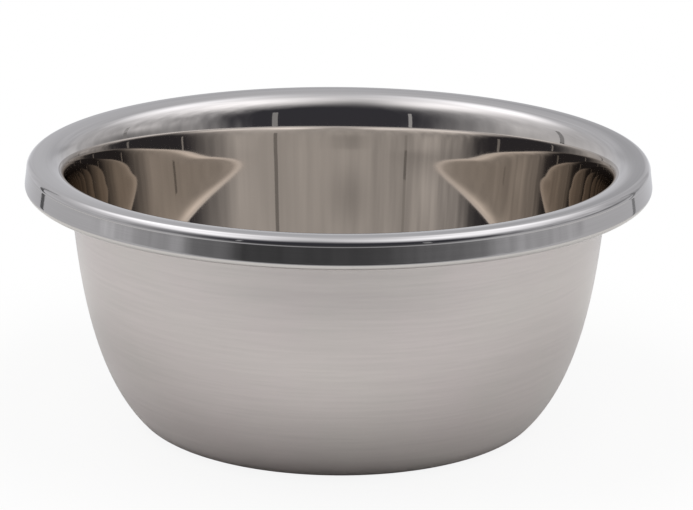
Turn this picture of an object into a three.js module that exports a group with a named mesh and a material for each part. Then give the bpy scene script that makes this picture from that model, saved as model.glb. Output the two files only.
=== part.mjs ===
// Stainless steel bowl, pressed from one round sheet. The wall flares out at the lip, the flange rolls down
// into a short skirt, and the sheet's edge is curled round a wire that stiffens the rim.
// Millimetres, +Z up. The origin is on the bowl's axis, in the plane that it stands on.

import * as THREE from "three";

// Overall sizes
const RIM_DIAMETER = 260; // over the bead, the widest part
const HEIGHT = 112; // from the table to the top of the flange
const BASE_DIAMETER = 157; // flat underside, out to where the knuckle begins
const SHEET = 0.6; // thickness of the steel, the same all over

// Base: the middle is pressed up a little, so that the bowl stands steady on a ring
const STANDING_RING = 14; // width of the ring that meets the table
const RECESS_DEPTH = 1;
const RECESS_BEND = 4; // radius of both bends in the step

// Wall: one curve, leaning well out where it leaves the knuckle and almost upright under the lip
const KNUCKLE_RADIUS = 8.5; // outside of the bend between base and wall
const FOOT_ANGLE = 47; // degrees above the table
const BRIM_ANGLE = 83; // degrees above the table
const FOOT_FULLNESS = 0.35; // how far the wall keeps the foot angle, as a share of its chord
const BRIM_FULLNESS = 0.16; // the same at the brim

// Rim: flared lip, level flange, rolled edge, skirt and bead
const RIM_WIDTH = 19.4; // from the outside of the wall to the outside of the bead
const RIM_DEPTH = 12.3; // from the top of the flange to the underside of the bead
const LIP_HEIGHT = 25; // of the flare, up to the top of the flange
const LIP_FULLNESS = 0.85; // how far the flare keeps the brim angle, as a share of its height
const FLANGE_FULLNESS = 0.8; // how far the flare keeps level, as a share of its reach
const FLANGE_FLAT = 1.2; // level stretch of the flange
const ROLL_RADIUS = 3; // outside of the bend at the flange's edge
const ROLL_OVERTURN = 5; // degrees that the roll goes past upright
const CREASE_RADIUS = 0.7; // outside of the small bend that turns the skirt out again
const SKIRT_FLARE = 8; // degrees from upright
const BEAD_CURL = 235; // degrees that the edge turns round the wire

// Wire: a hoop whose butted ends face the back
const WIRE_DIAMETER = 3;
const WIRE_CLEARANCE = 0.3; // between the wire and the curled sheet
const WIRE_GAP = 1.5; // between the hoop's ends

// Facets
const TURN_STEPS = 64; // round the bowl
const WIRE_SIDES = 12;

const HALF_SHEET = SHEET / 2;
const UP = Math.PI / 2;

const rimRadius = RIM_DIAMETER / 2;
const baseRadius = BASE_DIAMETER / 2;

// The bead is placed from the rim's two outer sizes, and the wire lies at its centre.
const beadRadius = WIRE_DIAMETER / 2 + WIRE_CLEARANCE + HALF_SHEET;
const beadCentre = new THREE.Vector2(
  rimRadius - HALF_SHEET - beadRadius,
  HEIGHT - RIM_DEPTH + HALF_SHEET + beadRadius,
);

function towards(angle, length) {
  return new THREE.Vector2(Math.cos(angle), Math.sin(angle)).multiplyScalar(length);
}

function line(start, end) {
  return new THREE.LineCurve(start, end);
}

function arc(centre, radius, from, to) {
  return new THREE.EllipseCurve(centre.x, centre.y, radius, radius, from, to, to < from);
}

// A curve that leaves start along one angle and reaches end along another
function blend(start, startAngle, startHandle, end, endAngle, endHandle) {
  const leave = start.clone().add(towards(startAngle, startHandle));
  const reach = end.clone().sub(towards(endAngle, endHandle));
  return new THREE.CubicBezierCurve(start, leave, reach, end);
}

// All paths below are the middle of the sheet, as radius and height, from the axis out to the raw edge.

function basePath() {
  const stepAngle = Math.acos(1 - RECESS_DEPTH / (2 * RECESS_BEND));
  const ringStart = new THREE.Vector2(baseRadius - STANDING_RING, HALF_SHEET);
  const ringEnd = new THREE.Vector2(baseRadius, HALF_SHEET);
  const recessRadius = ringStart.x - 2 * RECESS_BEND * Math.sin(stepAngle);
  const recessEnd = new THREE.Vector2(recessRadius, HALF_SHEET + RECESS_DEPTH);
  const upperBend = recessEnd.clone().sub(towards(UP, RECESS_BEND));
  const lowerBend = ringStart.clone().add(towards(UP, RECESS_BEND));
  return [
    { curve: line(new THREE.Vector2(0, recessEnd.y), recessEnd), steps: 1 },
    { curve: arc(upperBend, RECESS_BEND, UP, UP - stepAngle), steps: 2 },
    { curve: arc(lowerBend, RECESS_BEND, -UP - stepAngle, -UP), steps: 2 },
    { curve: line(ringStart, ringEnd), steps: 1 },
  ];
}

// From the flange's edge to the raw edge under the rim. The skirt is tangent to the bead, and the roll is
// set in from the rim by what the skirt's flare leaves.
function rimPath() {
  const overturn = THREE.MathUtils.degToRad(ROLL_OVERTURN);
  const flare = THREE.MathUtils.degToRad(SKIRT_FLARE);
  const curl = THREE.MathUtils.degToRad(BEAD_CURL);
  const rollRadius = ROLL_RADIUS - HALF_SHEET;
  const creaseRadius = CREASE_RADIUS + HALF_SHEET;

  const skirtEnd = beadCentre.clone().add(towards(flare, beadRadius));
  const rollToCrease = towards(-overturn, rollRadius + creaseRadius);
  const rollToSkirt = rollToCrease.clone().sub(towards(flare, creaseRadius));
  const rollHeight = HEIGHT - HALF_SHEET - rollRadius;
  const skirtHeight = rollHeight + rollToSkirt.y - skirtEnd.y;
  const skirtStart = skirtEnd.clone().add(new THREE.Vector2(-skirtHeight * Math.tan(flare), skirtHeight));
  const rollCentre = skirtStart.clone().sub(rollToSkirt);
  const creaseCentre = rollCentre.clone().add(rollToCrease);
  return {
    start: rollCentre.clone().add(towards(UP, rollRadius)),
    path: [
      { curve: arc(rollCentre, rollRadius, UP, -overturn), steps: 5 },
      { curve: arc(creaseCentre, creaseRadius, Math.PI - overturn, Math.PI + flare), steps: 1 },
      { curve: line(skirtStart, skirtEnd), steps: 1 },
      { curve: arc(beadCentre, beadRadius, flare, flare - curl), steps: 9 },
    ],
  };
}

function wallPath(flangeEnd) {
  const footAngle = THREE.MathUtils.degToRad(FOOT_ANGLE);
  const brimAngle = THREE.MathUtils.degToRad(BRIM_ANGLE);
  const knuckleRadius = KNUCKLE_RADIUS - HALF_SHEET;
  const knuckleCentre = new THREE.Vector2(baseRadius, HALF_SHEET + knuckleRadius);
  const foot = knuckleCentre.clone().add(towards(footAngle - UP, knuckleRadius));
  const brim = new THREE.Vector2(rimRadius - RIM_WIDTH - HALF_SHEET, HEIGHT - LIP_HEIGHT);
  const chord = foot.distanceTo(brim);
  const flangeStart = flangeEnd.clone().sub(new THREE.Vector2(FLANGE_FLAT, 0));
  const lipRise = flangeStart.y - brim.y;
  const lipReach = flangeStart.x - brim.x;
  return [
    { curve: arc(knuckleCentre, knuckleRadius, -UP, footAngle - UP), steps: 4 },
    {
      curve: blend(foot, footAngle, chord * FOOT_FULLNESS, brim, brimAngle, chord * BRIM_FULLNESS),
      steps: 9,
    },
    {
      curve: blend(brim, brimAngle, lipRise * LIP_FULLNESS, flangeStart, 0, lipReach * FLANGE_FULLNESS),
      steps: 9,
    },
    { curve: line(flangeStart, flangeEnd), steps: 1 },
  ];
}

// The closed outline of the sheet: out along its brushed face, round the raw edge and back along the
// polished one.
function sheetOutline(path) {
  const brushed = [];
  const polished = [];
  function addPair(curve, share) {
    const middle = curve.getPoint(share);
    const along = curve.getTangent(share);
    const across = new THREE.Vector2(-along.y, along.x).multiplyScalar(HALF_SHEET);
    brushed.push(middle.clone().sub(across));
    polished.push(middle.clone().add(across));
  }
  addPair(path[0].curve, 0);
  for (const { curve, steps } of path) {
    for (let step = 1; step <= steps; step += 1) {
      addPair(curve, step / steps);
    }
  }
  return [...brushed, ...polished.reverse()];
}

function bowlShell() {
  const rim = rimPath();
  const path = [...basePath(), ...wallPath(rim.start), ...rim.path];
  const geometry = new THREE.LatheGeometry(sheetOutline(path), TURN_STEPS);
  geometry.rotateX(UP);
  const steel = new THREE.MeshStandardMaterial({ color: 0xbab6b0, roughness: 0.28, metalness: 1 });
  const mesh = new THREE.Mesh(geometry, steel);
  mesh.name = "bowl_shell";
  return mesh;
}

// The wire's middle line: a level circle, open at the back by the gap between its ends
class HoopCurve extends THREE.Curve {
  constructor(radius, gap) {
    super();
    this.radius = radius;
    this.start = UP + gap / radius / 2;
    this.sweep = 2 * Math.PI - gap / radius;
  }

  getPoint(share, target = new THREE.Vector3()) {
    const angle = this.start + share * this.sweep;
    return target.set(this.radius * Math.cos(angle), this.radius * Math.sin(angle), 0);
  }
}

function rimWire() {
  const section = new THREE.Shape().absarc(0, 0, WIRE_DIAMETER / 2, 0, 2 * Math.PI);
  const geometry = new THREE.ExtrudeGeometry(section, {
    steps: TURN_STEPS,
    curveSegments: WIRE_SIDES / 2, // of each half circle
    extrudePath: new HoopCurve(beadCentre.x, WIRE_GAP),
  });
  const steel = new THREE.MeshStandardMaterial({ color: 0x9c9a97, roughness: 0.4, metalness: 1 });
  const mesh = new THREE.Mesh(geometry, steel);
  mesh.name = "rim_wire";
  mesh.position.z = beadCentre.y;
  return mesh;
}

const bowl = new THREE.Group();
bowl.add(bowlShell(), rimWire());

export default bowl;
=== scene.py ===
"""Looks of a stainless steel bowl: satin outside, mirror polished inside, with a rolled and wired rim.

The bowl is one pressed sheet. Its section is drawn as a line through the middle of the sheet, and a node
tree turns that line round the bowl's axis and gives it the sheet's two faces. Units are metres, +Z is up.
"""

import math

import bmesh
import bpy
from mathutils import Matrix, Vector


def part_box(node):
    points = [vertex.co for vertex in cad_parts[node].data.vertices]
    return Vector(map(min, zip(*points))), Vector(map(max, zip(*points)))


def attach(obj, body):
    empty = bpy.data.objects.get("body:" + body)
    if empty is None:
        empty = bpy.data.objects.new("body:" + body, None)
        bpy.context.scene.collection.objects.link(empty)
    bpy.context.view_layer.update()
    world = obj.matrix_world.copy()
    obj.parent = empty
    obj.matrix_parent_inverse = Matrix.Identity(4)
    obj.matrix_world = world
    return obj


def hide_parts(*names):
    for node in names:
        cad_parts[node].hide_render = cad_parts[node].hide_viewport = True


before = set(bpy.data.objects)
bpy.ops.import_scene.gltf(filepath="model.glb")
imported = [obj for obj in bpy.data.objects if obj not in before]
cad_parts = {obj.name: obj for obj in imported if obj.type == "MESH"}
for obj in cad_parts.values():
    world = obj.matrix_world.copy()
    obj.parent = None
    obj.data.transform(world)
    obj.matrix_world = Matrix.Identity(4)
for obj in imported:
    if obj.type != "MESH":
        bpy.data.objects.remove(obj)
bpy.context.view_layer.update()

bl_info = {
    "name": "Stainless steel bowl",
    "version": (1, 0, 0),
    "blender": (4, 5, 0),
    "location": "3D view, sidebar, Bowl",
    "description": "Builds a pressed steel bowl with a wired rim, and the studio that it stands in",
    "category": "Object",
}

MM = 0.001
UPRIGHT = math.pi / 2
PHOTO_WIDTH = 693  # pixels
SENSOR_WIDTH = 36  # millimetres, which Blender gives sensor and lens in
MIRROR_BOUNCES = 24

SHELL_LOW, SHELL_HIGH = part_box("bowl_shell")
WIRE_LOW, WIRE_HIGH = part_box("rim_wire")

# Marks in the steel: their length round the bowl, and how far apart they lie along its section. Real ones
# are far finer than a pixel of the render, which covers about 0.4 mm, so they are drawn coarser, to show.
BUFF_MARKS = (70 * MM, 0.7 * MM)
BRUSH_LINES = (45 * MM, 1.2 * MM)
BRUSH_DEPTH = 0.02 * MM
BRUSH_RELIEF = 0.15  # share of that depth that the light shows
# Darkest and palest mark, as shares of the steel's own colour
BUFF_SHADES = (0.95, 1.03)
BRUSH_SHADES = (0.95, 1.04)
ACROSS_MARKS = 0.25  # of a turn, from a blur along the marks to one across them

# Radii between which the finish of the drawn wall gives way to that of the rim
DRAWN_RADIUS = 111 * MM
BUFFED_RADIUS = 117 * MM
# Long shallow waves of the pressed sheet, which bend its reflections a little
WAVE_SIZE = 35 * MM
WAVE_DEPTH = 0.004 * MM
# Patches where the satin face is a little pinker or greener, as shares of linear red, green and blue
CAST_SIZE = 30 * MM
PINK_CAST = (1, 0.97, 0.985)
GREEN_CAST = (0.955, 0.98, 0.95)
# Uneven shine of the wire
SHINE_SIZE = 2 * MM
WIRE_ROUGHNESS = (0.3, 0.5)

# A noise texture seldom leaves this range
NOISE_RANGE = {"From Min": 0.3, "From Max": 0.7}
NOISE_MIDDLE = (0.5, 0.5, 0.5)

# Facets
MIRROR_CUTS = 4  # of the long curves of wall and lip
WIRE_SIDES = 16
MERGE_DISTANCE = 0.005 * MM  # shorter than any edge
TENT_SIDES = 64
TENT_RINGS = 32  # of the whole ball, which is cut at the table


def around(turn, climb, distance):
    """A place round the bowl, by two angles in degrees: turn goes to the right from the camera's side, and
    climb goes up from the table."""
    level = math.cos(math.radians(climb)) * distance
    return Vector(
        (
            math.sin(math.radians(turn)) * level,
            -math.cos(math.radians(turn)) * level,
            math.sin(math.radians(climb)) * distance,
        )
    )


# The studio is in metres, and a brightness of 1 is white. A soft patch has a centre, its reach along each
# axis, and the share of that reach in which it fades.

PAPER_SIZE = 8
PAPER_DROP = 0.2 * MM  # below the bowl's base, so that they don't share a plane
PAPER_SHADOW = ((0, 0, 0), (0.26, 0.26, 0.26), 0.5)
PAPER_SHADOW_WHITE = 0.9  # share of plain white that is left where the floor keeps the shadow
PAPER_BACK = ((0, 1.4, 0), (1.2, 1.2, 1.2), 0.8)

TENT_RADIUS = 1.4
TENT_LEVELS = (0.97, 0.79)  # brightness of the cloth at the table and overhead
# Patches where the cloth is brighter, or darker below zero: turn and climb of the centre in degrees, reach,
# and change of brightness
TENT_PATCHES = (
    ((-43, 46), (0.58, 1.2, 0.56), 1.2),
    ((43, 35), (1.1, 1.9, 1.65), 2.5),
    ((-80, 53), (1.25, 1.25, 1.25), 0.85),
    ((-132, 57), (0.6, 0.6, 0.6), 1.1),
    ((136, 57), (0.6, 0.6, 0.6), 0.9),
    ((105, 8), (1.0, 1.4, 0.24), -0.55),
    ((92, 18), (0.6, 0.8, 0.22), 0.5),
    ((-90, 16.5), (0.5, 0.5, 0.25), 0.25),
    ((171, 20), (0.6, 0.5, 0.13), -0.2),
)
TENT_OPENING = (around(6, 14, TENT_RADIUS), (2.9, 3.75, 1.37), 0.73)
FOLD_SCALE = (6, 6, 0.4)  # folds in a metre: they hang, so they are long in height
FOLD_SHADES = (0.95, 1.05)
FOLD_SWAY = (0.5, 0.5, 0)  # how far the folds shift the edge of the opening

# Poles of the tent and gaps in its cloth, which the metal shows as thin upright lines: turn in degrees,
# distance, width, foot, top and brightness
TENT_POLES = (
    (-121.5, 0.58, 0.034, 0, 0.15, 0.12),
    (-121.5, 0.58, 0.034, 0.15, 0.36, 0.3),
    (117.7, 0.45, 0.02, 0, 0.2, 0.26),
    (117.7, 0.45, 0.02, 0.2, 0.28, 0.42),
    (-33, 1.19, 0.035, 0.15, 0.5, 0.4),
    (30, 1.19, 0.055, 0.15, 0.5, 0.3),
)

# The tent's floor glows in the metal only, as painted light of the lit floor, and is clear near the bowl
TENT_FLOOR_SIZE = 3
TENT_FLOOR_LIFT = 1 * MM
TENT_FLOOR_CLEAR = ((0, 0, 0), (0.56, 0.4, 1), 0.45)
TENT_FLOOR_BACK = ((0, 1.2, 0), (0.9, 1.1, 1), 0.8)
TENT_FLOOR_FRONT = ((0, -TENT_RADIUS, 0), (1.3, 1.22, 1), 0.43)
TENT_FLOOR_LEVELS = (0.6, 1.1)  # brightness of its painted glow at the sides and at the back

# Brightness along the low wall at the front, by turn in degrees
LOW_WALL = (
    (-93, 0.6), (-78, 0.62), (-70, 0.45), (-54, 0.4), (-49, 0.2), (-36, 0.16),
    (-31, 0.07), (10, 0.078), (28, 0.16), (49, 0.21), (55, 0.43), (93, 0.55),
)
LOW_WALL_RADIUS = 1.19
LOW_WALL_HEIGHT = 0.12
LOW_WALL_STEP = 3  # degrees
GLOW_BLOTCH_SCALE = 9  # blotches of brighter and dimmer glow in a metre, painted light
# Painted light: how much dimmer and brighter the low wall glows in its blotches
GLOW_BLOTCH_SHADES = (0.82, 1.18)

SOFTBOXES = ((-80, 62), (70, 62))  # turn and climb in degrees
SOFTBOX_SIZE = (0.8, 0.7)
SOFTBOX_DISTANCE = TENT_RADIUS * 0.8
OVERHEAD = {"From Min": 0.2, "From Max": 0.8}  # height on a unit ball over which the plain light comes in


def linear(code):
    """Linear red, green and blue of an sRGB hex colour such as '#c0bab2'."""
    shares = [int(code[i : i + 2], 16) / 255 for i in (1, 3, 5)]
    return [s / 12.92 if s <= 0.04045 else ((s + 0.055) / 1.055) ** 2.4 for s in shares]


def shaded(tint, level=1):
    """A linear colour times a brightness, with the alpha that a socket asks for."""
    return (*[channel * level for channel in tint], 1)


def length(label, about, millimetres):
    """A size in metres that is written in millimetres."""
    return bpy.props.FloatProperty(
        name=label, description=about, default=millimetres * MM, min=0, precision=5, unit="LENGTH"
    )


def angle(label, about, degrees):
    """An angle that is written in degrees."""
    return bpy.props.FloatProperty(
        name=label, description=about, default=math.radians(degrees), subtype="ANGLE"
    )


def share(label, about, value):
    """A number from 0 to 1."""
    return bpy.props.FloatProperty(
        name=label, description=about, default=value, min=0, max=1, subtype="FACTOR"
    )


def colour(label, about, code):
    """A colour that is written as an sRGB hex value."""
    return bpy.props.FloatVectorProperty(
        name=label, description=about, default=linear(code), min=0, max=1, subtype="COLOR"
    )


class BowlSizes(bpy.types.PropertyGroup):
    """Sizes of the pressed sheet and its wire"""

    rim_diameter: length("Rim diameter", "Over the bead", round((SHELL_HIGH.x - SHELL_LOW.x) / MM))
    height: length(
        "Height", "From the table to the top of the flange", round((SHELL_HIGH.z - SHELL_LOW.z) / MM)
    )
    base_diameter: length("Base diameter", "Flat underside, out to the knuckle", 157)
    sheet: length("Sheet", "Thickness of the steel", 0.6)
    standing_ring: length("Standing ring", "Width of the ring that meets the table", 14)
    recess_depth: length("Recess depth", "How far the middle of the base is pressed up", 1)
    recess_bend: length("Recess bend", "Radius of both bends in the step", 4)
    knuckle_radius: length("Knuckle radius", "Outside of the bend from base to wall", 8.5)
    foot_angle: angle("Foot angle", "Lean of the wall at the knuckle", 47)
    brim_angle: angle("Brim angle", "Lean of the wall under the lip", 83)
    foot_fullness: share("Foot fullness", "How far the wall keeps the foot angle", 0.35)
    brim_fullness: share("Brim fullness", "How far the wall keeps the brim angle", 0.16)
    rim_width: length("Rim width", "From the wall to the outside of the bead", 19.4)
    rim_depth: length("Rim depth", "From the flange to the underside of the bead", 12.3)
    lip_height: length("Lip height", "Height of the flare", 25)
    lip_fullness: share("Lip fullness", "How far the flare keeps the brim angle", 0.85)
    flange_fullness: share("Flange fullness", "How far the flare keeps level", 0.8)
    flange_flat: length("Flange flat", "Level stretch of the flange", 1.2)
    roll_radius: length("Roll radius", "Outside of the bend at the flange's edge", 3)
    roll_overturn: angle("Roll overturn", "How far the roll goes past upright", 5)
    crease_radius: length("Crease radius", "Outside of the bend that turns the skirt out", 0.7)
    skirt_flare: angle("Skirt flare", "Lean of the skirt", 8)
    bead_curl: angle("Bead curl", "How far the edge turns round the wire", 235)
    wire_diameter: length("Wire diameter", "Of the hoop in the bead", (WIRE_HIGH.z - WIRE_LOW.z) / MM)
    wire_clearance: length("Wire clearance", "Between the wire and the curled sheet", 0.3)
    wire_gap: length("Wire gap", "Between the ends of the hoop", 1.5)
    turn_steps: bpy.props.IntProperty(
        name="Turn steps", description="Faces round the bowl", default=224, min=16
    )
    bend_steps: bpy.props.IntProperty(
        name="Bend steps", description="Faces along each bend of the sheet", default=10, min=2
    )


class BowlFinish(bpy.types.PropertyGroup):
    """Colours and finish of the steel"""

    drawn: colour("Drawn wall", "What the mirror face of the wall reflects head on", "#d7d0c8")
    buffed: colour("Buffed rim", "What the mirror face of the rim reflects head on", "#cecbc9")
    polished_roughness: share("Polished roughness", "Blur of the mirror face", 0.025)
    buffed_roughness: share("Buffed roughness", "Blur of the rim, which is a little less clear", 0.06)
    polished_grain: share("Polished grain", "How much more the mirror face blurs across the marks", 0.4)
    brushed: colour("Brushed steel", "What the satin face reflects head on", "#d4cecd")
    brushed_roughness: share("Brushed roughness", "Blur of the satin face", 0.27)
    brushed_grain: share("Brushed grain", "How much more the satin face blurs across the grain", 0.8)
    wire: colour("Drawn wire", "What the bright wire reflects head on", "#b8b6b3")


class BowlStudio(bpy.types.PropertyGroup):
    """Camera, floor and light"""

    camera_distance: length("Camera distance", "From the bowl's middle", 1184.5)
    camera_elevation: angle("Camera elevation", "Above the table", 16.188)
    camera_roll: angle("Camera roll", "Turn of the camera about its view", 0.451)
    camera_side: length("Camera side", "How far the camera stands to the right", 3.5)
    aim_height: length("Aim height", "Point on the axis that the camera faces", 68.5)
    focal_pixels: bpy.props.FloatProperty(
        name="Focal length", description=f"In pixels of a picture {PHOTO_WIDTH} wide", default=2821.4
    )
    paper: colour("Paper", "Floor and backdrop", "#f4f3f1")
    tent: colour("Tent cloth", "Faintly blue white", "#f9faff")
    room: colour("Room", "Tint of the dim light past the tent's opening", "#e8e9ff")
    dark_room: bpy.props.FloatProperty(
        name="Dark room", description="Brightness past the tent's opening", default=0.055, min=0
    )
    softbox_strength: bpy.props.FloatProperty(
        name="Softbox strength", description="Brightness of the two lamps", default=3.0, min=0
    )
    ambient: bpy.props.FloatProperty(
        name="Ambient", description="Brightness of the room's plain light overhead", default=0.4, min=0
    )


def add_node(tree, kind, inputs=None, **settings):
    """Adds a node. Settings are its properties; inputs maps a socket to a value or to the output that
    feeds it."""
    node = tree.nodes.new(kind)
    for name, value in settings.items():
        setattr(node, name, value)
    for key, value in (inputs or {}).items():
        if isinstance(value, bpy.types.NodeSocket):
            tree.links.new(value, node.inputs[key])
        else:
            node.inputs[key].default_value = value
    return node


def new_material(name):
    """An empty material with its tree and the surface input that it ends in."""
    material = bpy.data.materials.new(name)
    material.use_nodes = True
    tree = material.node_tree
    tree.nodes.clear()
    end = add_node(tree, "ShaderNodeOutputMaterial")
    return material, tree, end.inputs["Surface"]


def round_grain(tree, mark_length, spacing):
    """Noise drawn out round the bowl: marks of that length, that far apart along the sheet's section."""
    place = add_node(tree, "ShaderNodeTexCoord").outputs["Object"]
    run = add_node(tree, "ShaderNodeAttribute", attribute_name="run").outputs["Fac"]
    round_place = add_node(
        tree,
        "ShaderNodeVectorMath",
        {0: place, 1: (1 / mark_length, 1 / mark_length, 0)},
        operation="MULTIPLY",
    )
    climb = add_node(tree, "ShaderNodeMath", {0: run, 1: 1 / spacing}, operation="MULTIPLY")
    up = add_node(tree, "ShaderNodeCombineXYZ", {"Z": climb.outputs[0]})
    grain_place = add_node(
        tree,
        "ShaderNodeVectorMath",
        {0: round_place.outputs["Vector"], 1: up.outputs["Vector"]},
        operation="ADD",
    )
    grain = add_node(
        tree,
        "ShaderNodeTexNoise",
        {"Vector": grain_place.outputs["Vector"], "Scale": 1.0, "Detail": 3.0, "Roughness": 0.7},
    )
    return grain.outputs["Fac"]


def polished_steel(finish):
    """Mirror-polished stainless steel: clear reflections, drawn out a little across the polishing marks,
    which run round the bowl. The drawn wall keeps a straw tint that the buffed rim has lost."""
    material, tree, surface = new_material("mirror_polished_stainless_steel")
    place = add_node(tree, "ShaderNodeTexCoord").outputs["Object"]
    level = add_node(tree, "ShaderNodeVectorMath", {0: place, 1: (1, 1, 0)}, operation="MULTIPLY")
    radius = add_node(tree, "ShaderNodeVectorMath", {0: level.outputs["Vector"]}, operation="LENGTH")
    rim = add_node(
        tree,
        "ShaderNodeMapRange",
        {"Value": radius.outputs["Value"], "From Min": DRAWN_RADIUS, "From Max": BUFFED_RADIUS},
    )
    marks = round_grain(tree, *BUFF_MARKS)
    stroke = add_node(tree, "ShaderNodeMapRange", {"Value": marks, **NOISE_RANGE})
    buffed = add_node(
        tree,
        "ShaderNodeMix",
        {
            "Factor": stroke.outputs["Result"],
            "A": shaded(finish.buffed, BUFF_SHADES[0]),
            "B": shaded(finish.buffed, BUFF_SHADES[1]),
        },
        data_type="RGBA",
    )
    tint = add_node(
        tree,
        "ShaderNodeMix",
        {"Factor": rim.outputs["Result"], "A": shaded(finish.drawn), "B": buffed.outputs["Result"]},
        data_type="RGBA",
    )
    blur = add_node(
        tree,
        "ShaderNodeMapRange",
        {
            "Value": rim.outputs["Result"],
            "To Min": finish.polished_roughness,
            "To Max": finish.buffed_roughness,
        },
    )
    wave = add_node(
        tree,
        "ShaderNodeTexNoise",
        {"Vector": place, "Scale": 1 / WAVE_SIZE, "Detail": 1.0, "Roughness": 0.4},
    )
    bump = add_node(
        tree, "ShaderNodeBump", {"Height": wave.outputs["Fac"], "Strength": 1.0, "Distance": WAVE_DEPTH}
    )
    round_axis = add_node(tree, "ShaderNodeTangent", direction_type="RADIAL", axis="Z")
    shader = add_node(
        tree,
        "ShaderNodeBsdfPrincipled",
        {
            "Base Color": tint.outputs["Result"],
            "Metallic": 1.0,
            "Roughness": blur.outputs["Result"],
            "Anisotropic": finish.polished_grain,
            "Anisotropic Rotation": ACROSS_MARKS,
            "Normal": bump.outputs["Normal"],
            "Tangent": round_axis.outputs["Tangent"],
        },
    )
    tree.links.new(shader.outputs["BSDF"], surface)
    return material


def brushed_steel(finish):
    """Satin stainless steel, brushed round and round: fine level lines, light drawn out across them, and a
    faint cast that changes from place to place."""
    material, tree, surface = new_material("circular_brushed_stainless_steel")
    place = add_node(tree, "ShaderNodeTexCoord").outputs["Object"]
    grain = round_grain(tree, *BRUSH_LINES)
    stroke = add_node(tree, "ShaderNodeMapRange", {"Value": grain, **NOISE_RANGE})
    lines = add_node(
        tree,
        "ShaderNodeMix",
        {
            "Factor": stroke.outputs["Result"],
            "A": shaded(finish.brushed, BRUSH_SHADES[0]),
            "B": shaded(finish.brushed, BRUSH_SHADES[1]),
        },
        data_type="RGBA",
    )
    patches = add_node(
        tree,
        "ShaderNodeTexNoise",
        {"Vector": place, "Scale": 1 / CAST_SIZE, "Detail": 2.0, "Roughness": 0.5},
    )
    cast = add_node(
        tree,
        "ShaderNodeMix",
        {"Factor": patches.outputs["Fac"], "A": shaded(PINK_CAST), "B": shaded(GREEN_CAST)},
        data_type="RGBA",
    )
    tint = add_node(
        tree,
        "ShaderNodeMix",
        {"Factor": 1.0, "A": lines.outputs["Result"], "B": cast.outputs["Result"]},
        data_type="RGBA",
        blend_type="MULTIPLY",
    )
    bump = add_node(
        tree, "ShaderNodeBump", {"Height": grain, "Strength": BRUSH_RELIEF, "Distance": BRUSH_DEPTH}
    )
    round_axis = add_node(tree, "ShaderNodeTangent", direction_type="RADIAL", axis="Z")
    shader = add_node(
        tree,
        "ShaderNodeBsdfPrincipled",
        {
            "Base Color": tint.outputs["Result"],
            "Metallic": 1.0,
            "Roughness": finish.brushed_roughness,
            "Anisotropic": finish.brushed_grain,
            "Anisotropic Rotation": ACROSS_MARKS,
            "Normal": bump.outputs["Normal"],
            "Tangent": round_axis.outputs["Tangent"],
        },
    )
    tree.links.new(shader.outputs["BSDF"], surface)
    return material


def wire_steel(finish):
    """Bright drawn wire: a smooth grey metal with soft highlights."""
    material, tree, surface = new_material("bright_drawn_steel_wire")
    place = add_node(tree, "ShaderNodeTexCoord").outputs["Object"]
    shine = add_node(
        tree, "ShaderNodeTexNoise", {"Vector": place, "Scale": 1 / SHINE_SIZE, "Detail": 2.0}
    )
    blur = add_node(
        tree,
        "ShaderNodeMapRange",
        {"Value": shine.outputs["Fac"], "To Min": WIRE_ROUGHNESS[0], "To Max": WIRE_ROUGHNESS[1]},
    )
    shader = add_node(
        tree,
        "ShaderNodeBsdfPrincipled",
        {"Base Color": shaded(finish.wire), "Metallic": 1.0, "Roughness": blur.outputs["Result"]},
    )
    tree.links.new(shader.outputs["BSDF"], surface)
    return material


def towards(direction, distance):
    """A step in the plane of the section: x is the radius and y the height."""
    return Vector((math.cos(direction), math.sin(direction))) * distance


class SheetLine:
    """The middle of the sheet as Bezier points, drawn from the axis outwards."""

    def __init__(self, start):
        self.points = [[start, start, start]]  # place, handle before it, handle after it

    def bend(self, leave, reach, end, cuts=1):
        """A Bezier piece to end, cut into shorter ones where reflections show the smallest facet."""
        for left in range(cuts, 0, -1):
            part = 1 / left
            first = self.points[-1][0].lerp(leave, part)
            middle = leave.lerp(reach, part)
            last = reach.lerp(end, part)
            before = first.lerp(middle, part)
            after = middle.lerp(last, part)
            cut = before.lerp(after, part)
            self.points[-1][2] = first
            self.points.append([cut, before, cut])
            leave, reach = after, last

    def line(self, end):
        start = self.points[-1][0]
        self.bend(start.lerp(end, 1 / 3), start.lerp(end, 2 / 3), end)

    def arc(self, centre, radius, start, end):
        pieces = math.ceil(abs(end - start) / UPRIGHT)
        step = (end - start) / pieces
        handle = 4 / 3 * math.tan(step / 4) * radius
        for piece in range(pieces):
            first = start + piece * step
            last = first + step
            self.bend(
                centre + towards(first, radius) + towards(first + UPRIGHT, handle),
                centre + towards(last, radius) - towards(last + UPRIGHT, handle),
                centre + towards(last, radius),
            )


def bead_place(sizes):
    """Radius of the bead at the middle of the sheet, and its centre."""
    half = sizes.sheet / 2
    radius = sizes.wire_diameter / 2 + sizes.wire_clearance + half
    centre = Vector(
        (sizes.rim_diameter / 2 - half - radius, sizes.height - sizes.rim_depth + half + radius)
    )
    return radius, centre


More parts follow.
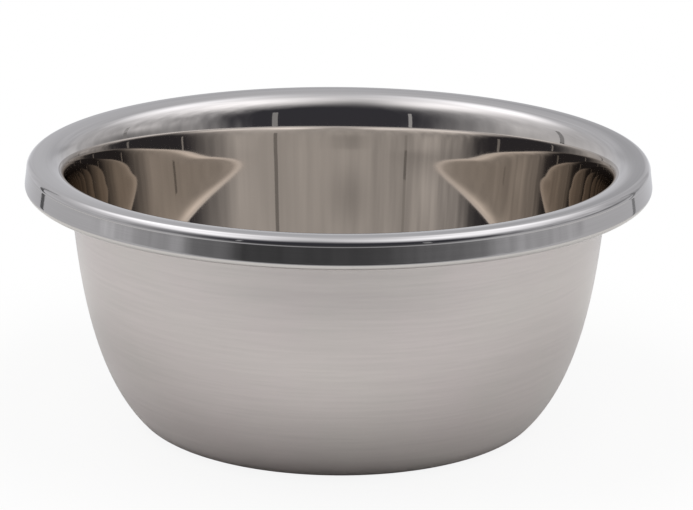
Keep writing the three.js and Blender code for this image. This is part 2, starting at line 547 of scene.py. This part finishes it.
def sheet_line(sizes):
    """The section of the whole bowl, from the centre of the base to the raw edge in the bead."""
    half = sizes.sheet / 2

    # Base: a shallow pressed-up middle inside the ring that the bowl stands on
    step = math.acos(1 - sizes.recess_depth / (2 * sizes.recess_bend))
    ring_end = Vector((sizes.base_diameter / 2, half))
    ring_start = ring_end - Vector((sizes.standing_ring, 0))
    recess_end = ring_start + Vector((-2 * sizes.recess_bend * math.sin(step), sizes.recess_depth))
    line = SheetLine(Vector((0, recess_end.y)))
    line.line(recess_end)
    rise = towards(UPRIGHT, sizes.recess_bend)
    line.arc(recess_end - rise, sizes.recess_bend, UPRIGHT, UPRIGHT - step)
    line.arc(ring_start + rise, sizes.recess_bend, -UPRIGHT - step, -UPRIGHT)
    line.line(ring_end)

    # Knuckle
    knuckle = sizes.knuckle_radius - half
    line.arc(ring_end + towards(UPRIGHT, knuckle), knuckle, -UPRIGHT, sizes.foot_angle - UPRIGHT)
    foot = line.points[-1][0]

    # Rim, worked out from the bead inwards: the skirt is tangent to the bead, and the roll to the skirt
    bead_radius, bead_centre = bead_place(sizes)
    roll = sizes.roll_radius - half
    crease = sizes.crease_radius + half
    skirt_end = bead_centre + towards(sizes.skirt_flare, bead_radius)
    roll_to_crease = towards(-sizes.roll_overturn, roll + crease)
    roll_to_skirt = roll_to_crease - towards(sizes.skirt_flare, crease)
    skirt_height = sizes.height - half - roll + roll_to_skirt.y - skirt_end.y
    skirt_start = skirt_end + Vector((-skirt_height * math.tan(sizes.skirt_flare), skirt_height))
    roll_centre = skirt_start - roll_to_skirt
    flange_end = roll_centre + towards(UPRIGHT, roll)
    flange_start = flange_end - Vector((sizes.flange_flat, 0))

    # Wall and flared lip
    brim = Vector((sizes.rim_diameter / 2 - sizes.rim_width - half, sizes.height - sizes.lip_height))
    chord = (brim - foot).length
    line.bend(
        foot + towards(sizes.foot_angle, chord * sizes.foot_fullness),
        brim - towards(sizes.brim_angle, chord * sizes.brim_fullness),
        brim,
        cuts=MIRROR_CUTS,
    )
    lip = flange_start - brim
    line.bend(
        brim + towards(sizes.brim_angle, lip.y * sizes.lip_fullness),
        flange_start - Vector((lip.x * sizes.flange_fullness, 0)),
        flange_start,
        cuts=MIRROR_CUTS,
    )

    # Flange, roll, crease, skirt and bead
    line.line(flange_end)
    line.arc(roll_centre, roll, UPRIGHT, -sizes.roll_overturn)
    line.arc(
        roll_centre + roll_to_crease, crease, math.pi - sizes.roll_overturn, math.pi + sizes.skirt_flare
    )
    line.line(skirt_end)
    line.arc(bead_centre, bead_radius, sizes.skirt_flare, sizes.skirt_flare - sizes.bead_curl)
    return line.points


def sheet_curve(points, steps):
    """A curve object through the section's Bezier points."""
    data = bpy.data.curves.new("sheet_line", "CURVE")
    data.dimensions = "3D"
    spline = data.splines.new("BEZIER")
    spline.resolution_u = steps
    spline.bezier_points.add(len(points) - 1)
    for point, (place, before, after) in zip(spline.bezier_points, points):
        point.handle_left_type = point.handle_right_type = "FREE"
        point.co = place.to_3d()
        point.handle_left = before.to_3d()
        point.handle_right = after.to_3d()
    curve = bpy.data.objects.new("sheet_line", data)
    bpy.context.scene.collection.objects.link(curve)
    return curve


def new_tree(name, sockets):
    """An empty geometry tree with those named inputs and one geometry output."""
    tree = bpy.data.node_groups.new(name, "GeometryNodeTree")
    tree.interface.new_socket("Geometry", in_out="INPUT", socket_type="NodeSocketGeometry")
    tree.interface.new_socket("Geometry", in_out="OUTPUT", socket_type="NodeSocketGeometry")
    for label, kind in sockets:
        tree.interface.new_socket(label, in_out="INPUT", socket_type=kind)
    start = add_node(tree, "NodeGroupInput")
    end = add_node(tree, "NodeGroupOutput")
    return tree, start.outputs, end.inputs["Geometry"]


def turned_sheet_tree():
    """Turns the line through the middle of a sheet round +Z, and gives it the sheet's two faces and its
    edge."""
    tree, given, result = new_tree(
        "turned_sheet",
        [
            ("Sheet", "NodeSocketFloat"),
            ("Turn Steps", "NodeSocketInt"),
            ("Polished", "NodeSocketMaterial"),
            ("Brushed", "NodeSocketMaterial"),
        ],
    )
    line = add_node(tree, "GeometryNodeResampleCurve", {"Curve": given["Geometry"]}, mode="EVALUATED")
    measure = add_node(tree, "GeometryNodeSplineParameter")
    kept = add_node(tree, "GeometryNodeCaptureAttribute", {"Geometry": line.outputs["Curve"]})
    kept.capture_items.new("FLOAT", "run")
    tree.links.new(measure.outputs["Length"], kept.inputs["run"])

    # Towards the polished face: across the line, in the plane of the section
    tangent = add_node(tree, "GeometryNodeInputTangent")
    across = add_node(
        tree,
        "ShaderNodeVectorMath",
        {0: (0, 0, 1), 1: tangent.outputs["Tangent"]},
        operation="CROSS_PRODUCT",
    )

    # The path that the section travels: a circle, its points looking out from the axis
    ring = add_node(
        tree,
        "GeometryNodeCurvePrimitiveCircle",
        {"Resolution": given["Turn Steps"], "Radius": 1.0},
        mode="RADIUS",
    )
    path = add_node(tree, "GeometryNodeSetCurveNormal", {"Curve": ring.outputs["Curve"]}, mode="Z_UP")
    faces = []
    ends = []
    for side in (1, -1):
        half = add_node(tree, "ShaderNodeMath", {0: given["Sheet"], 1: side / 2}, operation="MULTIPLY")
        offset = add_node(
            tree,
            "ShaderNodeVectorMath",
            {0: across.outputs["Vector"], "Scale": half.outputs[0]},
            operation="SCALE",
        )
        face = add_node(
            tree,
            "GeometryNodeSetPosition",
            {"Geometry": kept.outputs["Geometry"], "Offset": offset.outputs["Vector"]},
        )
        faces.append(face.outputs["Geometry"])
        last = add_node(
            tree,
            "GeometryNodeSampleCurve",
            {"Curves": face.outputs["Geometry"], "Factor": 1.0},
            mode="FACTOR",
        )
        ends.append(last.outputs["Position"])
    edge = add_node(tree, "GeometryNodeCurvePrimitiveLine", {"Start": ends[0], "End": ends[1]})

    # Only the brushed face is drawn back from the raw edge, so it alone comes out looking into the sheet
    parts = []
    for section, polished, inverted in (
        (faces[0], True, False),
        (edge.outputs["Curve"], False, False),
        (faces[1], False, True),
    ):
        # The circle's frame has its height pointing down, and its middle one metre out
        placed = add_node(
            tree,
            "GeometryNodeTransform",
            {"Geometry": section, "Translation": (-1, 0, 0), "Scale": (1, -1, 1)},
        )
        swept = add_node(
            tree,
            "GeometryNodeCurveToMesh",
            {"Curve": path.outputs["Curve"], "Profile Curve": placed.outputs["Geometry"]},
        )
        if inverted:
            swept = add_node(tree, "GeometryNodeFlipFaces", {"Mesh": swept.outputs["Mesh"]})
        marked = add_node(
            tree,
            "GeometryNodeStoreNamedAttribute",
            {"Geometry": swept.outputs["Mesh"], "Name": "polished", "Value": polished},
            data_type="BOOLEAN",
            domain="FACE",
        )
        parts.append(marked.outputs["Geometry"])
    joined = add_node(tree, "GeometryNodeJoinGeometry")
    for part in parts:
        tree.links.new(part, joined.inputs["Geometry"])
    measured = add_node(
        tree,
        "GeometryNodeStoreNamedAttribute",
        {"Geometry": joined.outputs["Geometry"], "Name": "run", "Value": kept.outputs["run"]},
        data_type="FLOAT",
        domain="POINT",
    )
    merged = add_node(
        tree,
        "GeometryNodeMergeByDistance",
        {"Geometry": measured.outputs["Geometry"], "Distance": MERGE_DISTANCE},
    )
    smooth = add_node(tree, "GeometryNodeSetShadeSmooth", {"Geometry": merged.outputs["Geometry"]})
    real = add_node(tree, "GeometryNodeRealizeInstances", {"Geometry": smooth.outputs["Geometry"]})
    satin = add_node(
        tree,
        "GeometryNodeSetMaterial",
        {"Geometry": real.outputs["Geometry"], "Material": given["Brushed"]},
    )
    is_polished = add_node(
        tree, "GeometryNodeInputNamedAttribute", {"Name": "polished"}, data_type="BOOLEAN"
    )
    mirror = add_node(
        tree,
        "GeometryNodeSetMaterial",
        {
            "Geometry": satin.outputs["Geometry"],
            "Selection": is_polished.outputs["Attribute"],
            "Material": given["Polished"],
        },
    )
    tree.links.new(mirror.outputs["Geometry"], result)
    return tree


def wire_hoop_tree():
    """A round wire bent to a hoop in the level plane, open at the back by the gap between its ends."""
    tree, given, result = new_tree(
        "wire_hoop",
        [
            ("Radius", "NodeSocketFloat"),
            ("Height", "NodeSocketFloat"),
            ("Wire Radius", "NodeSocketFloat"),
            ("Gap", "NodeSocketFloat"),
            ("Turn Steps", "NodeSocketInt"),
            ("Wire", "NodeSocketMaterial"),
        ],
    )
    gap = add_node(tree, "ShaderNodeMath", {0: given["Gap"], 1: given["Radius"]}, operation="DIVIDE")
    half_gap = add_node(tree, "ShaderNodeMath", {0: gap.outputs[0], 1: 2.0}, operation="DIVIDE")
    start = add_node(tree, "ShaderNodeMath", {0: half_gap.outputs[0], 1: UPRIGHT}, operation="ADD")
    sweep = add_node(tree, "ShaderNodeMath", {0: 2 * math.pi, 1: gap.outputs[0]}, operation="SUBTRACT")
    hoop = add_node(
        tree,
        "GeometryNodeCurveArc",
        {
            "Resolution": given["Turn Steps"],
            "Radius": given["Radius"],
            "Start Angle": start.outputs[0],
            "Sweep Angle": sweep.outputs[0],
        },
        mode="RADIUS",
    )
    section = add_node(
        tree,
        "GeometryNodeCurvePrimitiveCircle",
        {"Resolution": WIRE_SIDES, "Radius": given["Wire Radius"]},
        mode="RADIUS",
    )
    wire = add_node(
        tree,
        "GeometryNodeCurveToMesh",
        {"Curve": hoop.outputs["Curve"], "Profile Curve": section.outputs["Curve"], "Fill Caps": True},
    )
    lift = add_node(tree, "ShaderNodeCombineXYZ", {"Z": given["Height"]})
    placed = add_node(
        tree,
        "GeometryNodeTransform",
        {"Geometry": wire.outputs["Mesh"], "Translation": lift.outputs["Vector"]},
    )
    smooth = add_node(tree, "GeometryNodeSetShadeSmooth", {"Geometry": placed.outputs["Geometry"]})
    real = add_node(tree, "GeometryNodeRealizeInstances", {"Geometry": smooth.outputs["Geometry"]})
    dressed = add_node(
        tree,
        "GeometryNodeSetMaterial",
        {"Geometry": real.outputs["Geometry"], "Material": given["Wire"]},
    )
    tree.links.new(dressed.outputs["Geometry"], result)
    return tree


def made_by_nodes(maker, tree, values, name):
    """Runs a tree on an object with those input values, and keeps the result as a plain mesh object."""
    modifier = maker.modifiers.new(tree.name, "NODES")
    modifier.node_group = tree
    for socket in tree.interface.items_tree:
        if socket.in_out == "INPUT" and socket.name in values:
            modifier[socket.identifier] = values[socket.name]
    finished = maker.evaluated_get(bpy.context.evaluated_depsgraph_get())
    mesh = bpy.data.meshes.new_from_object(finished)
    mesh.name = name
    bpy.data.objects.remove(maker)
    if not mesh.polygons:
        raise RuntimeError(f"the tree {tree.name} made no faces")
    piece = bpy.data.objects.new(name, mesh)
    bpy.context.scene.collection.objects.link(piece)
    return piece


class PressShell(bpy.types.Operator):
    """Turn the sheet's section into the bowl, polished inside and over the rim and brushed outside"""

    bl_idname = "bowl.press_shell"
    bl_label = "Press the shell"

    def execute(self, context):
        sizes = context.scene.bowl_sizes
        finish = context.scene.bowl_finish
        piece = made_by_nodes(
            sheet_curve(sheet_line(sizes), sizes.bend_steps),
            turned_sheet_tree(),
            {
                "Sheet": sizes.sheet,
                "Turn Steps": sizes.turn_steps,
                "Polished": polished_steel(finish),
                "Brushed": brushed_steel(finish),
            },
            "pressed_bowl",
        )
        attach(piece, "root")
        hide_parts("bowl_shell")
        return {"FINISHED"}


class FitWire(bpy.types.Operator):
    """Lay the wire hoop in the rim's bead"""

    bl_idname = "bowl.fit_wire"
    bl_label = "Fit the rim wire"

    def execute(self, context):
        sizes = context.scene.bowl_sizes
        centre = bead_place(sizes)[1]
        maker = bpy.data.objects.new("wire_maker", bpy.data.meshes.new("wire_maker"))
        context.scene.collection.objects.link(maker)
        piece = made_by_nodes(
            maker,
            wire_hoop_tree(),
            {
                "Radius": centre.x,
                "Height": centre.y,
                "Wire Radius": sizes.wire_diameter / 2,
                "Gap": sizes.wire_gap,
                "Turn Steps": sizes.turn_steps,
                "Wire": wire_steel(context.scene.bowl_finish),
            },
            "wire_hoop",
        )
        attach(piece, "root")
        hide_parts("rim_wire")
        return {"FINISHED"}


def stage_mesh(name, points, faces, material):
    """An object of the stage."""
    mesh = bpy.data.meshes.new(name)
    mesh.from_pydata(points, [], faces)
    mesh.materials.append(material)
    obj = bpy.data.objects.new(name, mesh)
    bpy.context.scene.collection.objects.link(obj)
    return obj


def plane(name, centre, width, depth, facing, material):
    """A flat rectangle whose face looks along facing."""
    x, y = width / 2, depth / 2
    turn = Vector(facing).to_track_quat("Z", "Y")
    corners = [(-x, -y, 0), (x, -y, 0), (x, y, 0), (-x, y, 0)]
    points = [Vector(centre) + turn @ Vector(corner) for corner in corners]
    return stage_mesh(name, points, [(0, 1, 2, 3)], material)


def only_mirrored(obj):
    """Lets the metal show an object of the stage that neither lights the floor nor stands in the camera's
    way."""
    obj.visible_camera = False
    obj.visible_diffuse = False
    obj.visible_shadow = False
    obj.active_material.cycles.emission_sampling = "NONE"


def white_paper(tint):
    """White paper, lifted to white where the camera sees it and, behind the bowl, where the metal does.
    Close to the bowl it keeps the soft shadow."""
    material, tree, surface = new_material("white_paper")
    place = add_node(tree, "ShaderNodeTexCoord").outputs["Object"]
    rays = add_node(tree, "ShaderNodeLightPath").outputs
    seen = add_node(
        tree,
        "ShaderNodeMath",
        {0: rays["Is Camera Ray"], 1: rays["Is Transmission Ray"]},
        operation="MAXIMUM",
    )
    near = soft_patch(tree, place, *PAPER_SHADOW)
    direct = add_node(
        tree, "ShaderNodeMapRange", {"Value": near, "To Min": 1.0, "To Max": PAPER_SHADOW_WHITE}
    )
    behind = soft_patch(tree, place, *PAPER_BACK)
    lift = add_node(
        tree,
        "ShaderNodeMix",
        {"Factor": rays["Is Glossy Ray"], "A": 0.0, "B": behind},
        data_type="FLOAT",
    )
    blend_share = add_node(
        tree,
        "ShaderNodeMix",
        {"Factor": seen.outputs[0], "A": lift.outputs["Result"], "B": direct.outputs["Result"]},
        data_type="FLOAT",
    )
    matt = add_node(tree, "ShaderNodeBsdfDiffuse", {"Color": shaded(tint)})
    white = add_node(tree, "ShaderNodeEmission", {"Color": (1, 1, 1, 1), "Strength": 1.0})
    blend = add_node(
        tree,
        "ShaderNodeMixShader",
        {0: blend_share.outputs["Result"], 1: matt.outputs["BSDF"], 2: white.outputs["Emission"]},
    )
    tree.links.new(blend.outputs["Shader"], surface)
    return material


def plain_glow(name, tint, level):
    """An evenly lit cloth or card."""
    material, tree, surface = new_material(name)
    glow = add_node(tree, "ShaderNodeEmission", {"Color": shaded(tint), "Strength": level})
    tree.links.new(glow.outputs["Emission"], surface)
    return material


def soft_patch(tree, place, centre, reach, edge):
    """1 in an egg-shaped patch round a centre, falling to 0 at its reach. Edge is the share that the fall
    takes."""
    local = add_node(
        tree,
        "ShaderNodeMapping",
        {"Vector": place, "Location": centre, "Scale": reach},
        vector_type="TEXTURE",
    )
    depth = add_node(
        tree, "ShaderNodeTexGradient", {"Vector": local.outputs["Vector"]}, gradient_type="SPHERICAL"
    )
    patch = add_node(
        tree,
        "ShaderNodeMapRange",
        {"Value": depth.outputs["Fac"], "From Max": edge},
        interpolation_type="SMOOTHSTEP",
    )
    return patch.outputs["Result"]


def tent_cloth(studio):
    """The cloth of a light tent: pale low down, a little greyer overhead, glowing where lamps stand
    behind it, and open to a dark room at the front."""
    material, tree, surface = new_material("tent_cloth")
    place = add_node(tree, "ShaderNodeTexCoord").outputs["Object"]
    height = add_node(tree, "ShaderNodeSeparateXYZ", {"Vector": place}).outputs["Z"]
    level = add_node(
        tree,
        "ShaderNodeMapRange",
        {"Value": height, "From Max": TENT_RADIUS, "To Min": TENT_LEVELS[0], "To Max": TENT_LEVELS[1]},
    ).outputs["Result"]
    for heading, reach, change in TENT_PATCHES:
        patch = soft_patch(tree, place, around(*heading, TENT_RADIUS), reach, 1)
        level = add_node(
            tree, "ShaderNodeMath", {0: patch, 1: change, 2: level}, operation="MULTIPLY_ADD"
        ).outputs[0]
    folds_place = add_node(
        tree, "ShaderNodeVectorMath", {0: place, 1: FOLD_SCALE}, operation="MULTIPLY"
    )
    folds = add_node(
        tree,
        "ShaderNodeTexNoise",
        {"Vector": folds_place.outputs["Vector"], "Scale": 1.0, "Detail": 2.0},
    )
    shade = add_node(
        tree,
        "ShaderNodeMapRange",
        {"Value": folds.outputs["Fac"], **NOISE_RANGE, "To Min": FOLD_SHADES[0], "To Max": FOLD_SHADES[1]},
    )
    sway = add_node(
        tree,
        "ShaderNodeVectorMath",
        {0: folds.outputs["Color"], 1: NOISE_MIDDLE},
        operation="SUBTRACT",
    )
    hung = add_node(
        tree,
        "ShaderNodeVectorMath",
        {0: sway.outputs["Vector"], 1: FOLD_SWAY, 2: place},
        operation="MULTIPLY_ADD",
    )
    level = add_node(
        tree, "ShaderNodeMath", {0: level, 1: shade.outputs["Result"]}, operation="MULTIPLY"
    ).outputs[0]
    opening = soft_patch(tree, hung.outputs["Vector"], *TENT_OPENING)
    lit = add_node(tree, "ShaderNodeVectorMath", {0: studio.tent[:], "Scale": level}, operation="SCALE")
    light = add_node(
        tree,
        "ShaderNodeMix",
        {"Factor": opening, "A": lit.outputs["Vector"], "B": shaded(studio.room, studio.dark_room)},
        data_type="RGBA",
    )
    glow = add_node(tree, "ShaderNodeEmission", {"Color": light.outputs["Result"], "Strength": 1.0})
    tree.links.new(glow.outputs["Emission"], surface)
    return material


def tent_floor(studio):
    """The tent's floor away from the bowl, a glowing sheet that only the metal sees, painted with the
    floor's
    light: clear at the bowl, grey at the sides, white at the back, fading into the dark room at the front."""
    material, tree, surface = new_material("tent_floor")
    place = add_node(tree, "ShaderNodeTexCoord").outputs["Object"]
    near = soft_patch(tree, place, *TENT_FLOOR_CLEAR)
    behind = soft_patch(tree, place, *TENT_FLOOR_BACK)
    front = soft_patch(tree, place, *TENT_FLOOR_FRONT)
    level = add_node(
        tree,
        "ShaderNodeMapRange",
        {"Value": behind, "To Min": TENT_FLOOR_LEVELS[0], "To Max": TENT_FLOOR_LEVELS[1]},
    )
    faded = add_node(
        tree,
        "ShaderNodeMix",
        {"Factor": front, "A": level.outputs["Result"], "B": studio.dark_room},
        data_type="FLOAT",
    )
    glow = add_node(
        tree, "ShaderNodeEmission", {"Color": shaded(studio.tent), "Strength": faded.outputs["Result"]}
    )
    clear = add_node(tree, "ShaderNodeBsdfTransparent")
    blend = add_node(
        tree, "ShaderNodeMixShader", {0: near, 1: glow.outputs["Emission"], 2: clear.outputs["BSDF"]}
    )
    tree.links.new(blend.outputs["Shader"], surface)
    return material


def tent_dome(material):
    """Half a ball over the table."""
    shape = bmesh.new()
    bmesh.ops.create_uvsphere(
        shape, u_segments=TENT_SIDES, v_segments=TENT_RINGS, radius=TENT_RADIUS
    )
    low = [v for v in shape.verts if v.co.z < -MM]
    bmesh.ops.delete(shape, geom=low, context="VERTS")
    mesh = bpy.data.meshes.new("light_tent")
    shape.to_mesh(mesh)
    shape.free()
    mesh.materials.append(material)
    mesh.shade_smooth()
    tent = bpy.data.objects.new("light_tent", mesh)
    bpy.context.scene.collection.objects.link(tent)
    only_mirrored(tent)


def low_wall_cloth(studio):
    """The cloth of the low wall that the rim's skirt mirrors, a glowing sheet whose shades are painted
    light: dark in the middle, paler towards both ends, and unevenly bright in blotches."""
    first = LOW_WALL[0][0]
    last = LOW_WALL[-1][0]
    material, tree, surface = new_material("low_wall_cloth")
    place = add_node(tree, "ShaderNodeTexCoord").outputs["Object"]
    axes = add_node(tree, "ShaderNodeSeparateXYZ", {"Vector": place}).outputs
    front = add_node(tree, "ShaderNodeMath", {0: axes["Y"], 1: -1.0}, operation="MULTIPLY")
    turn = add_node(tree, "ShaderNodeMath", {0: axes["X"], 1: front.outputs[0]}, operation="ARCTAN2")
    along = add_node(
        tree,
        "ShaderNodeMapRange",
        {"Value": turn.outputs[0], "From Min": math.radians(first), "From Max": math.radians(last)},
    )
    ramp = add_node(tree, "ShaderNodeValToRGB", {"Fac": along.outputs["Result"]})
    stops = ramp.color_ramp.elements
    stops.remove(stops[1])
    stops[0].color = shaded(studio.tent, LOW_WALL[0][1])
    for degrees, level in LOW_WALL[1:]:
        stop = stops.new((degrees - first) / (last - first))
        stop.color = shaded(studio.tent, level)
    # Painted light: noise makes the wall's glow brighter and dimmer in blotches
    glow_blotches = add_node(
        tree,
        "ShaderNodeTexNoise",
        {"Vector": place, "Scale": GLOW_BLOTCH_SCALE, "Detail": 3.0, "Roughness": 0.6},
    )
    shade = add_node(
        tree,
        "ShaderNodeMapRange",
        {
            "Value": glow_blotches.outputs["Fac"],
            **NOISE_RANGE,
            "To Min": GLOW_BLOTCH_SHADES[0],
            "To Max": GLOW_BLOTCH_SHADES[1],
        },
    )
    glow = add_node(
        tree, "ShaderNodeEmission", {"Color": ramp.outputs["Color"], "Strength": shade.outputs["Result"]}
    )
    tree.links.new(glow.outputs["Emission"], surface)
    return material


def low_wall(material):
    """A low curved wall round the front of the tent."""
    turns = range(LOW_WALL[0][0], LOW_WALL[-1][0] + 1, LOW_WALL_STEP)
    points = [
        around(turn, 0, LOW_WALL_RADIUS) + Vector((0, 0, height))
        for turn in turns
        for height in (0, LOW_WALL_HEIGHT)
    ]
    faces = [(i, i + 2, i + 3, i + 1) for i in range(0, len(points) - 2, 2)]
    only_mirrored(stage_mesh("low_wall", points, faces, material))


def hang_tent(studio):
    """The light tent: its cloth, floor, low wall and poles."""
    tent_dome(tent_cloth(studio))
    centre = (0, 0, TENT_FLOOR_LIFT)
    only_mirrored(
        plane("tent_floor", centre, TENT_FLOOR_SIZE, TENT_FLOOR_SIZE, (0, 0, 1), tent_floor(studio))
    )
    low_wall(low_wall_cloth(studio))
    for turn, distance, width, low, high, level in TENT_POLES:
        foot = around(turn, 0, distance)
        middle = foot + Vector((0, 0, (low + high) / 2))
        material = plain_glow("tent_pole", studio.tent, level)
        only_mirrored(plane("tent_pole", middle, width, high - low, -foot, material))


def place_softboxes(scene, strength):
    """Two broad lamps that light the floor. The metal mirrors the tent in their place."""
    for turn, climb in SOFTBOXES:
        lamp = bpy.data.lights.new("softbox", "AREA")
        lamp.shape = "RECTANGLE"
        lamp.size, lamp.size_y = SOFTBOX_SIZE
        lamp.energy = strength * math.pi * lamp.size * lamp.size_y
        softbox = bpy.data.objects.new("softbox", lamp)
        centre = around(turn, climb, SOFTBOX_DISTANCE)
        facing = centre.to_track_quat("Z", "Y").to_matrix().to_4x4()
        softbox.matrix_world = Matrix.Translation(centre) @ facing
        softbox.visible_camera = False
        softbox.visible_glossy = False
        scene.collection.objects.link(softbox)


def plain_light(scene, ambient):
    """A world that looks white, and lights the scene softly from overhead."""
    world = bpy.data.worlds.new("plain_light")
    scene.world = world
    world.use_nodes = True
    tree = world.node_tree
    tree.nodes.clear()
    rays = add_node(tree, "ShaderNodeLightPath").outputs
    seen = rays["Is Camera Ray"]
    for kind in ("Is Glossy Ray", "Is Transmission Ray"):
        either = add_node(tree, "ShaderNodeMath", {0: seen, 1: rays[kind]}, operation="MAXIMUM")
        seen = either.outputs[0]
    heading = add_node(tree, "ShaderNodeTexCoord").outputs["Generated"]
    climb = add_node(tree, "ShaderNodeSeparateXYZ", {"Vector": heading}).outputs["Z"]
    overhead = add_node(tree, "ShaderNodeMapRange", {"Value": climb, **OVERHEAD, "To Max": ambient})
    level = add_node(
        tree,
        "ShaderNodeMix",
        {"Factor": seen, "A": overhead.outputs["Result"], "B": 1.0},
        data_type="FLOAT",
    )
    sky = add_node(
        tree, "ShaderNodeBackground", {"Color": (1, 1, 1, 1), "Strength": level.outputs["Result"]}
    )
    add_node(tree, "ShaderNodeOutputWorld", {"Surface": sky.outputs["Background"]})


def place_camera(scene, studio):
    """A camera that looks down on the bowl's front."""
    camera = bpy.data.cameras.new("camera")
    camera.sensor_width = SENSOR_WIDTH
    camera.lens = SENSOR_WIDTH * studio.focal_pixels / PHOTO_WIDTH
    camera.clip_start = 10 * MM
    viewer = bpy.data.objects.new("camera", camera)
    back = Vector((0, -math.cos(studio.camera_elevation), math.sin(studio.camera_elevation)))
    place = Vector((studio.camera_side, 0, studio.aim_height)) + back * studio.camera_distance
    viewer.matrix_world = (
        Matrix.Translation(place)
        @ Matrix.Rotation(UPRIGHT - studio.camera_elevation, 4, "X")
        @ Matrix.Rotation(studio.camera_roll, 4, "Z")
    )
    scene.collection.objects.link(viewer)
    scene.camera = viewer


class SetStudio(bpy.types.Operator):
    """Lay the floor, put up the light tent and its lamps, and place the camera"""

    bl_idname = "bowl.set_studio"
    bl_label = "Set the studio"

    def execute(self, context):
        scene = context.scene
        studio = scene.bowl_studio
        scene.view_settings.view_transform = "Standard"
        # The mirror face passes light on many times, and a path that is cut short leaves a black speck
        scene.cycles.max_bounces = MIRROR_BOUNCES
        scene.cycles.glossy_bounces = MIRROR_BOUNCES
        scene.cycles.min_light_bounces = MIRROR_BOUNCES

        paper = white_paper(studio.paper)
        plane("floor", (0, 0, -PAPER_DROP), PAPER_SIZE, PAPER_SIZE, (0, 0, 1), paper)
        hang_tent(studio)
        place_softboxes(scene, studio.softbox_strength)
        plain_light(scene, studio.ambient)
        place_camera(scene, studio)
        return {"FINISHED"}


class BowlPanel(bpy.types.Panel):
    """Sizes, finish and studio of the bowl"""

    bl_idname = "BOWL_PT_bowl"
    bl_label = "Stainless steel bowl"
    bl_space_type = "VIEW_3D"
    bl_region_type = "UI"
    bl_category = "Bowl"

    def draw(self, context):
        for operator in OPERATORS:
            self.layout.operator(operator.bl_idname)
        for group in (context.scene.bowl_sizes, context.scene.bowl_finish, context.scene.bowl_studio):
            column = self.layout.box().column()
            for name in group.__annotations__:
                column.prop(group, name)


OPERATORS = (SetStudio, PressShell, FitWire)
CLASSES = (BowlSizes, BowlFinish, BowlStudio, *OPERATORS, BowlPanel)


def register():
    for cls in CLASSES:
        bpy.utils.register_class(cls)
    bpy.types.Scene.bowl_sizes = bpy.props.PointerProperty(type=BowlSizes)
    bpy.types.Scene.bowl_finish = bpy.props.PointerProperty(type=BowlFinish)
    bpy.types.Scene.bowl_studio = bpy.props.PointerProperty(type=BowlStudio)


def unregister():
    del bpy.types.Scene.bowl_studio
    del bpy.types.Scene.bowl_finish
    del bpy.types.Scene.bowl_sizes
    for cls in reversed(CLASSES):
        bpy.utils.unregister_class(cls)


def main():
    register()
    bpy.ops.bowl.set_studio()
    bpy.ops.bowl.press_shell()
    bpy.ops.bowl.fit_wire()


if __name__ == "__main__":
    main()
